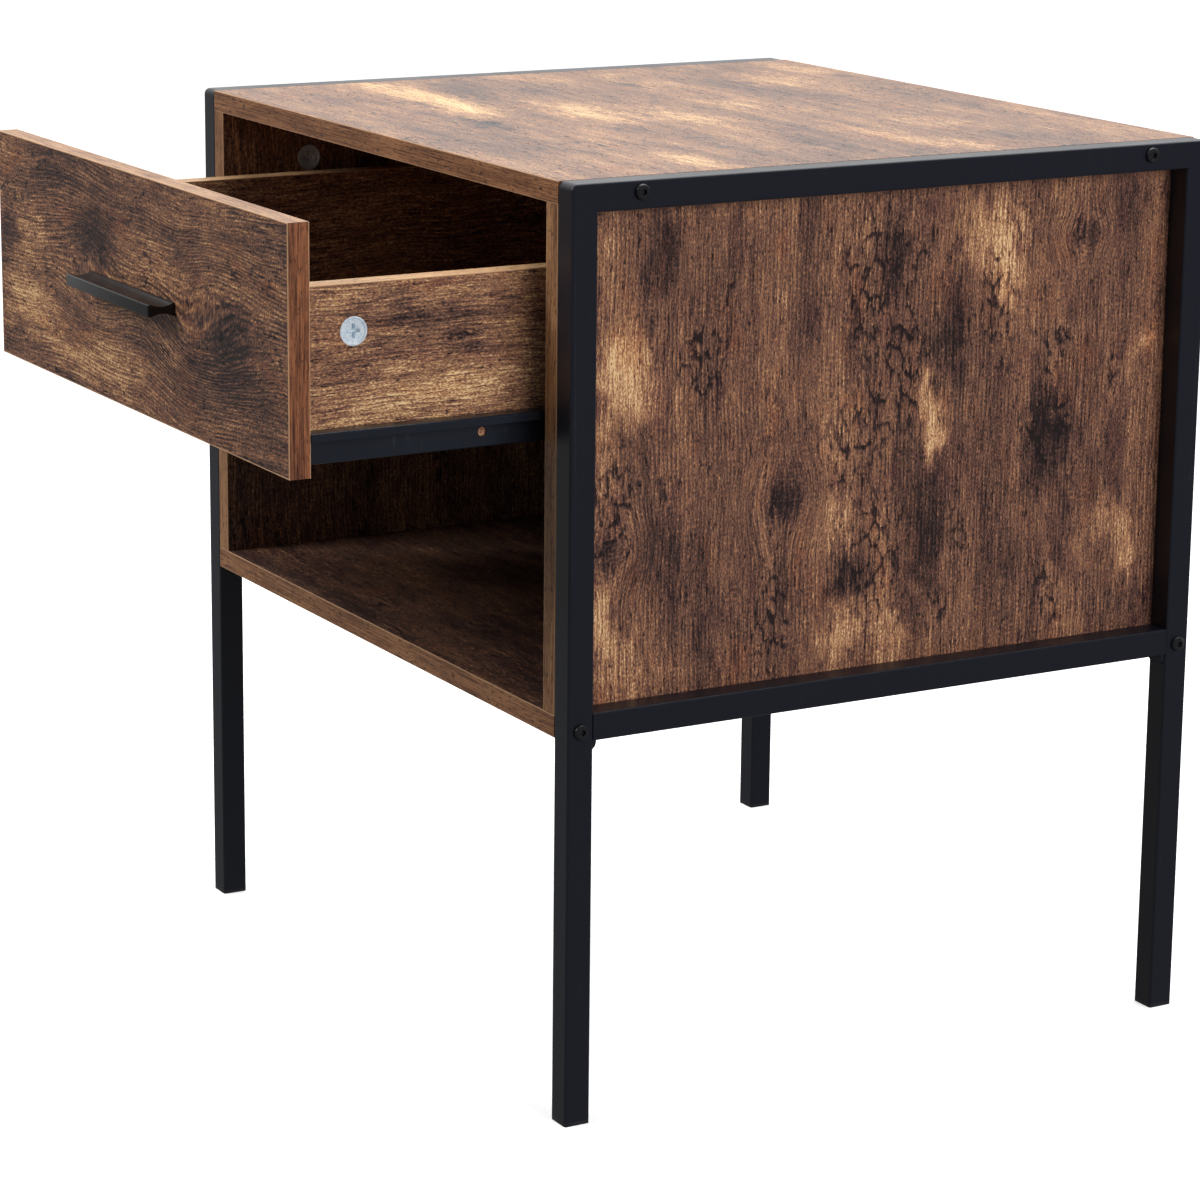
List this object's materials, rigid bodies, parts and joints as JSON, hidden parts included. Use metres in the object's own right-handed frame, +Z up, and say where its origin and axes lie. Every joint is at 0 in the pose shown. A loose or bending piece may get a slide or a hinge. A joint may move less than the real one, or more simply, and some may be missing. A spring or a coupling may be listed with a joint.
{
  "type": "side table",
  "caption": "Square side table with a laminated board cabinet hung between two black square-tube side frames, a drawer on roller slides over an open shelf bay",
  "frame": {"origin": "centre of the base of the whole object with the drawer standing open 142 mm", "axes": "+Z up, the drawer opens towards -Y, +X to the right seen from the front"},
  "size_m": [0.4548, 0.5576, 0.5],
  "materials": {
    "frame_black": "satin black powder coat",
    "rustic_board": "chipboard with a matt rustic brown wood-print laminate",
    "thin_sheet": "thin fibreboard with a brown printed face",
    "edge_band": "reddish brown printed edge band, grain lengthwise",
    "zinc_plate": "bright zinc plate",
    "black_screw": "black oxide",
    "handle_black": "satin black coated aluminium extrusion",
    "black_plastic": "moulded black plastic",
    "slide_black": "black epoxy coated steel",
    "white_nylon": "white nylon",
    "beech": "plain fluted beech"
  },
  "bodies": {
    "cabinet": {"left_front_leg": "frame_black", "right_front_leg": "frame_black", "left_rear_leg": "frame_black", "right_rear_leg": "frame_black", "left_top_rail": "frame_black", "right_top_rail": "frame_black", "left_lower_rail": "frame_black", "right_lower_rail": "frame_black", "weld_beads": "frame_black", "leg_glides": "black_plastic", "top_panel": "rustic_board", "bottom_panel": "rustic_board", "left_side_panel": "rustic_board", "right_side_panel": "rustic_board", "back_panel": "thin_sheet", "top_panel_bands": "edge_band", "bottom_panel_bands": "edge_band", "side_panel_bands": "edge_band", "frame_screws": "black_screw", "cabinet_cams": "zinc_plate", "cabinet_cam_bolts": "zinc_plate", "cabinet_dowels": "beech", "bottom_screws": "zinc_plate", "left_cabinet_slide": "slide_black", "right_cabinet_slide": "slide_black", "cabinet_slide_screws": "zinc_plate", "cabinet_roller_pins": "zinc_plate"},
    "drawer": {"drawer_front": "rustic_board", "drawer_front_bands": "edge_band", "left_drawer_side": "rustic_board", "right_drawer_side": "rustic_board", "drawer_back": "rustic_board", "drawer_floor": "thin_sheet", "left_drawer_side_band": "edge_band", "right_drawer_side_band": "edge_band", "drawer_back_band": "edge_band", "drawer_cams": "zinc_plate", "drawer_cam_bolts": "zinc_plate", "drawer_dowels": "beech", "drawer_back_screws": "zinc_plate", "handle": "handle_black", "handle_screws": "zinc_plate", "left_drawer_slide": "slide_black", "right_drawer_slide": "slide_black", "drawer_slide_screws": "zinc_plate", "drawer_roller_pins": "zinc_plate"},
    "left_front_roller": {"left_front_roller": "white_nylon"},
    "right_front_roller": {"right_front_roller": "white_nylon"},
    "left_rear_roller": {"left_rear_roller": "white_nylon"},
    "right_rear_roller": {"right_rear_roller": "white_nylon"}
  },
  "joints": [
    {"name": "drawer_slide", "type": "slide", "parent": "cabinet", "child": "drawer", "axis": [0, -1, 0], "range_m": [-0.142, 0.118]},
    {"name": "left_front_roller_spin", "type": "hinge", "parent": "cabinet", "child": "left_front_roller", "pos_m": [-0.1913, -0.09825, 0.3702], "axis": [1, 0, 0], "continuous": true},
    {"name": "left_rear_roller_spin", "type": "hinge", "parent": "drawer", "child": "left_rear_roller", "pos_m": [-0.1913, 0.08875, 0.3658], "axis": [1, 0, 0], "continuous": true},
    {"name": "right_front_roller_spin", "type": "hinge", "parent": "cabinet", "child": "right_front_roller", "pos_m": [0.1913, -0.09825, 0.3702], "axis": [1, 0, 0], "continuous": true},
    {"name": "right_rear_roller_spin", "type": "hinge", "parent": "drawer", "child": "right_rear_roller", "pos_m": [0.1913, 0.08875, 0.3658], "axis": [1, 0, 0], "continuous": true}
  ],
  "couplings": [
    {"joint": "left_front_roller_spin", "follows": "drawer_slide", "rad_per_m": 117.65},
    {"joint": "left_rear_roller_spin", "follows": "drawer_slide", "rad_per_m": 117.65},
    {"joint": "right_front_roller_spin", "follows": "drawer_slide", "rad_per_m": 117.65},
    {"joint": "right_rear_roller_spin", "follows": "drawer_slide", "rad_per_m": 117.65}
  ]
}
